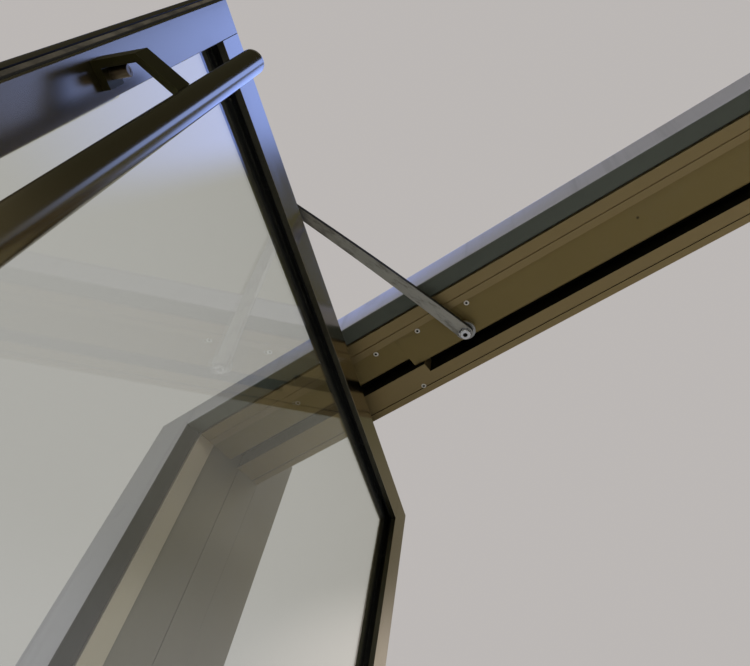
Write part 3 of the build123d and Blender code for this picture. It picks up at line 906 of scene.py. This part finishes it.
# %% Screws
SCREW_R, SILL_SCREW_R, PROUD = 0.0050, 0.0040, 0.0007
HOLE_SHARE, BOTTOM_SHARE, BOTTOM_HALF = 0.52, 0.60, 0.0002
PLATE_Z, STRIP_Z, SILL_TOP, JAMB_FACE = 2.455, 2.449, 0.012, 1.025
PLATE_SCREWS = ((0.081, -0.0400), (0.177, -0.0395), (0.286, -0.0400))
STRIP_SCREW = (0.117, 0.065)
JAMB_SCREW_Y, JAMB_SCREW_Z = 0.052, (0.20, 0.72, 1.24, 1.76)
SILL_SCREW_STEP, SILL_SCREW_Y = 0.32, (-0.0705, 0.0705)


def screws(name, body, slot, points, turn=(0, 0, 0), outer=SCREW_R):
    """Rims, and socket bottoms painted dark as shade, at the points; turn takes their -Z side to the face that
    they sit in.
    """
    rim_shape = socket_rim(outer, outer * HOLE_SHARE, PROUD)
    rim = repeated(name + "_rims", points, rim_shape, finishes["screw"], turn)
    # painted shade: a dark disc at the bottom of each socket
    bottom = disc(outer * BOTTOM_SHARE, -BOTTOM_HALF, BOTTOM_HALF)
    hole = repeated(name + "_sockets", points, bottom, finishes["recess"], turn)
    put_on(rim, body, slot)
    put_on(hole, body, slot)


plate_points = [(s * (PIVOT_X - x), y, PLATE_Z) for s in (-1, 1) for x, y in PLATE_SCREWS]
strip_points = [(s * (PIVOT_X - STRIP_SCREW[0]), STRIP_SCREW[1], STRIP_Z) for s in (-1, 1)]
screws("header_screws", "frame", "frame_bronze", plate_points + strip_points)
sill_points = [(i * SILL_SCREW_STEP, y, SILL_TOP) for i in range(-3, 4) for y in SILL_SCREW_Y]
screws("sill_screws", "frame", "sill_metal", sill_points, (math.pi, 0, 0), SILL_SCREW_R)
print(len(plate_points) + len(strip_points), "header screws,", len(sill_points), "sill screws")

# %% [markdown]
# Four screws hold each jamb. A short round stud sticks out of the lead stile beside each bracket of a pull,
# with a small flange at its root and a dimple in its end. It is one turned shape, but it stands on both faces
# of both leaves, so each gets its own matrix: from the section's Z to the leaf's Y, then up to its height.

# %% Jamb screws and pull studs
HALF_THICK = 0.02225
STUD_FROM_EDGE, STUD_HEIGHTS = 0.022, (0.390, 2.050)
STUD_SECTION = [
    (0, 0.0), (0.0066, 0.0), (0.0066, 0.0010), (0.0052, 0.0016), (0.0052, 0.0232), (0.0046, 0.0238),
    (0.0024, 0.0238), (0.0020, 0.0234), (0, 0.0234),
]
for side, sign in SIDES.items():
    jamb_points = [(sign * JAMB_FACE, JAMB_SCREW_Y, z) for z in JAMB_SCREW_Z]
    screws(side + "_jamb_screws", "frame", "frame_bronze", jamb_points, (0, sign * math.pi / 2, 0))
    for face, name in ((1, "inside"), (-1, "outside")):
        for number, z in enumerate(STUD_HEIGHTS):
            root = Matrix.Translation((LEAD_X - STUD_FROM_EDGE, face * HALF_THICK, z))
            place = LEAF_PLACE[side] @ (root @ Matrix.Rotation(-face * math.pi / 2, 4, "X"))
            mesh = soften(turned("stud", STUD_SECTION, finishes["stud"], (0, 0), place, 28))
            put_on(linked(f"{side}_{name}_stud_{number}", mesh), side + "_leaf", "satin_metal")
print(len(jamb_points), "screws a jamb,", 2 * len(STUD_HEIGHTS), "studs a leaf")

# %% [markdown]
# A door that turns on pivots can't have a raised sill, so the sill is flat, with low ribs to scrape shoes.
# One rib is a section run along the sill, and the tree for repeats lays twenty of them side by side. A bump
# in the material would be cheaper, but it would vanish at the edge and from the mesh files.

# %% Ribs of the threshold
RIB_COUNT, RIB_STEP, RIB_HALF_LENGTH = 20, 0.0065, 1.017
RIB_SECTION = [
    (-0.0017, -0.0002), (0.0017, -0.0002), (0.0013, 0.0006),
    (0.0006, 0.0010), (-0.0006, 0.0010), (-0.0013, 0.0006),
]


def ribbon(points, x0, x1, finish):
    """A (y, z) section run along X, closed at both ends."""
    count = len(points)
    vertices = [(x, y, z) for x in (x0, x1) for y, z in points]
    faces = [(i, (i + 1) % count, (i + 1) % count + count, i + count) for i in range(count)]
    faces += [tuple(range(count)), tuple(range(count, 2 * count))]
    return mesh_from("ribbon", vertices, faces, finish)


rib_points = [(0, (i - (RIB_COUNT - 1) / 2) * RIB_STEP, SILL_TOP) for i in range(RIB_COUNT)]
rib = ribbon(RIB_SECTION, -RIB_HALF_LENGTH, RIB_HALF_LENGTH, finishes["sill"])
put_on(repeated("threshold_ribs", rib_points, rib, finishes["sill"]), "frame", "sill_metal")
print(len(rib_points), "ribs")

# %% [markdown]
# A brush under each leaf keeps the draught out. It stops short of the floor pivot's collar, so it is in two
# runs, each in a slim holder. Hair isn't a mesh, and single bristles would be far too many, so a tuft is a
# four-sided cone, in three rows set half a step apart, each leaning a little at random.

# %% Brushes under the leaves
BRUSH_RUNS = ((HINGE_X + 0.010, -0.028), (0.028, LEAD_X - 0.003))
TUFT_STEP, TUFT_ROWS, TUFT_ROOT = 0.0017, (-0.0011, 0.0, 0.0011), 0.0010
TUFT_LEAN, TUFT_SEED = 0.14, 7
TUFT_SECTION = [(0, -0.0052), (0.00045, -0.0052), (0.00060, 0.0), (0, 0.0)]
HOLDER_SECTION = [
    (-0.0032, 0.0004), (0.0032, 0.0004), (0.0032, -0.0014),
    (0.0022, -0.0018), (-0.0022, -0.0018), (-0.0032, -0.0014),
]
tuft = turned("tuft", TUFT_SECTION, finishes["bristle"], (0, 0), None, 4)
for side, sign in SIDES.items():
    roots = []
    for start, end in BRUSH_RUNS:
        steps = int((end - start) / TUFT_STEP)
        for row, y in enumerate(TUFT_ROWS):
            for i in range(steps):
                at = Vector((start + (i + 0.5 * (row % 2)) * TUFT_STEP, y, LEAF_BOTTOM - TUFT_ROOT))
                roots.append(LEAF_PLACE[side] @ at)
    brush = repeated(
        side + "_bottom_brush", roots, tuft, finishes["bristle"], lean=TUFT_LEAN, seed=TUFT_SEED
    )
    put_on(brush, side + "_leaf", "black_gasket")
    for number, (start, end) in enumerate(BRUSH_RUNS):
        bar = ribbon(HOLDER_SECTION, start, end, finishes["rail_" + side])
        bar.transform(LEAF_PLACE[side] @ Matrix.Translation((0, 0, LEAF_BOTTOM)))
        if sign > 0:
            bar.flip_normals()
        put_on(linked(f"{side}_brush_holder_{number}", bar), side + "_leaf", "leaf_bronze")
print(len(roots), "tufts under each leaf")

# %% [markdown]
# The photograph is taken from the doorway, close under the left leaf and looking steeply up and out. A camera
# could be moved by eye until it fits, but straight lines of the leaf and the header give its place, turn,
# lens and lens shift more exactly, so the solved numbers are written out.

# %% Camera
EYE = (-0.04596, -0.5068, 1.39555)
EYE_RIGHT, EYE_UP, EYE_BACK = (
    (0.85165, 0.52367, -0.02127), (0.42964, -0.67433, 0.60058), (0.30016, -0.52062, -0.79929)
)
scene = bpy.context.scene
lens = bpy.data.cameras.new("camera")
lens.lens, lens.sensor_width = 31.85, 36.0
lens.shift_x, lens.shift_y = -0.1733, 0.0893
lens.clip_start = 0.01
camera = linked("camera", lens)
aim = Matrix((EYE_RIGHT, EYE_UP, EYE_BACK)).transposed().to_4x4()
camera.matrix_world = Matrix.Translation(EYE) @ aim
scene.camera = camera
print("camera at", [round(v, 3) for v in camera.location])

# %% [markdown]
# The doors stand on a plain pale floor, matt enough to keep a soft shadow under them. A single plane is all
# it takes.

# %% Floor
FLOOR = 14.0
FLOOR_DROP = 0.001
corners = [(-FLOOR, -FLOOR, 0), (FLOOR, -FLOOR, 0), (FLOOR, FLOOR, 0), (-FLOOR, FLOOR, 0)]
floor_mesh = bpy.data.meshes.new("floor")
floor_mesh.from_pydata(corners, [], [(0, 1, 2, 3)])
floor = linked("floor", floor_mesh)
floor.location.z = -FLOOR_DROP
paint = Finish("floor paint")
paint_tone = paint.blend(paint.noise((1.5, 1.5, 1.5), 4.0), (0.55, 0.54, 0.53), (0.61, 0.60, 0.59))
floor_mesh.materials.append(paint.output(paint.surface(paint_tone, 0.6)))
print("floor", 2 * FLOOR, "m wide")

# %% [markdown]
# Satin metal lives from what it mirrors, and looks like plastic under an even surround. Cards hung round the
# doors would throw shadows and show in the panes, so the world holds soft zones, told apart by the angle
# between a ray and a fixed direction of the room. Only mirrored rays meet them. Up to about 30 degrees above
# the horizon there is only the background's pale tone and one bright spot indoors, then a warm band, and
# round the zenith a dull zone indoors and a dark one outdoors.

# %% What metal mirrors
PALE = (0.50, 0.475, 0.462)
DARK, DULL = (0.040, 0.038, 0.022), (0.118, 0.110, 0.048)
WARM, SPOT = (0.205, 0.182, 0.125), (1.05, 0.95, 0.85)
world = bpy.data.worlds.new("studio")
scene.world = world
world.use_nodes = True
world.node_tree.nodes.clear()
sky = Graph(world.node_tree)
path = sky.node("ShaderNodeLightPath")
toward = sky.node("ShaderNodeTexCoord")["Generated"]


def along(direction):
    """How far the mirrored ray points in a direction, from -1 to 1."""
    values = {0: toward, 1: Vector(direction).normalized()}
    return sky.node("ShaderNodeVectorMath", {"operation": "DOT_PRODUCT"}, values)["Value"]


def patch(direction, inner, outer):
    """1 within inner degrees of a direction, fading to 0 at outer degrees."""
    return along(direction).step(math.cos(math.radians(outer)), math.cos(math.radians(inner)))


height = along(UP)
inward, leftward = along((-0.455, 0.864, -0.212)), along((-0.862, -0.369, 0.347))
mirrored = sky.blend(inward.step(-0.260, -0.215), DARK, DULL)
mirrored = sky.blend(height.step(0.70, 0.82), WARM, mirrored)
mirrored = sky.blend(height.step(0.46, 0.60), PALE, mirrored)
mirrored = sky.blend(patch((-0.06, 0.91, 0.41), 5, 14), mirrored, SPOT)
print("mirrored zones ready")

# %% [markdown]
# Two soft lavender patches near the zenith give the leaf's face and the tube their cool sheen. They are
# brighter than white, because satin metal spreads and dims what it mirrors. A Mix Shader on Light Path gives
# the camera and the rays through a pane the plain pale tone instead, and matt surfaces a plain soft light.

# %% Light of the surround
LAVENDER, SOFT_LIGHT = (0.68, 0.97, 2.35), (0.60, 0.61, 0.66, 1)
over_leaf = inward.step(-0.240, -0.205) * (1 - inward.step(-0.040, 0.022)) * height.step(0.77, 0.92)
over_pull = inward.step(-0.02, 0.05) * leftward.step(0.11, 0.17) * height.step(0.83, 0.93)
mirrored = sky.blend((over_leaf + over_pull).clamped(), mirrored, LAVENDER)
seen = (path["Is Camera Ray"] + path["Is Transmission Ray"]).clamped()
shown = sky.blend(seen, mirrored, PALE)
seen_light = sky.node("ShaderNodeBackground", None, {"Color": shown, "Strength": 1.0})[0]
soft_light = sky.node("ShaderNodeBackground", None, {"Color": SOFT_LIGHT, "Strength": 0.55})[0]
direct = (seen + path["Is Glossy Ray"]).clamped()
both = sky.node("ShaderNodeMixShader", None, {0: direct, 1: soft_light, 2: seen_light})[0]
sky.node("ShaderNodeOutputWorld", None, {"Surface": both})
print("surround ready")

# %% [markdown]
# Three large soft lamps fill the frame from both sides, weak enough that nothing pale turns white. They would
# show as hard rectangles in metal and panes, so they are hidden from mirrored and transmitted rays.

# %% Lamps
LIT_POINT = (0, -0.2, 1.4)


def lamp(name, place, size, watts, colour):
    light = bpy.data.lights.new(name, "AREA")
    light.shape, light.size, light.size_y = "RECTANGLE", *size
    light.energy, light.color = watts, colour
    made = linked(name, light)
    made.location = place
    made.rotation_euler = (Vector(LIT_POINT) - Vector(place)).to_track_quat("-Z", "Y").to_euler()
    made.visible_transmission = made.visible_glossy = False


lamp("key", (3.5, -4.5, 4.5), (3.0, 2.0), 190, (1.0, 0.98, 0.95))
lamp("fill", (-4.5, -3.0, 2.5), (3.0, 3.0), 90, (0.90, 0.94, 1.0))
lamp("indoor", (3.0, 4.5, 2.5), (3.0, 2.0), 110, (1.0, 0.97, 0.93))
scene.view_settings.view_transform = "Standard"
print("three lamps aimed at", LIT_POINT)
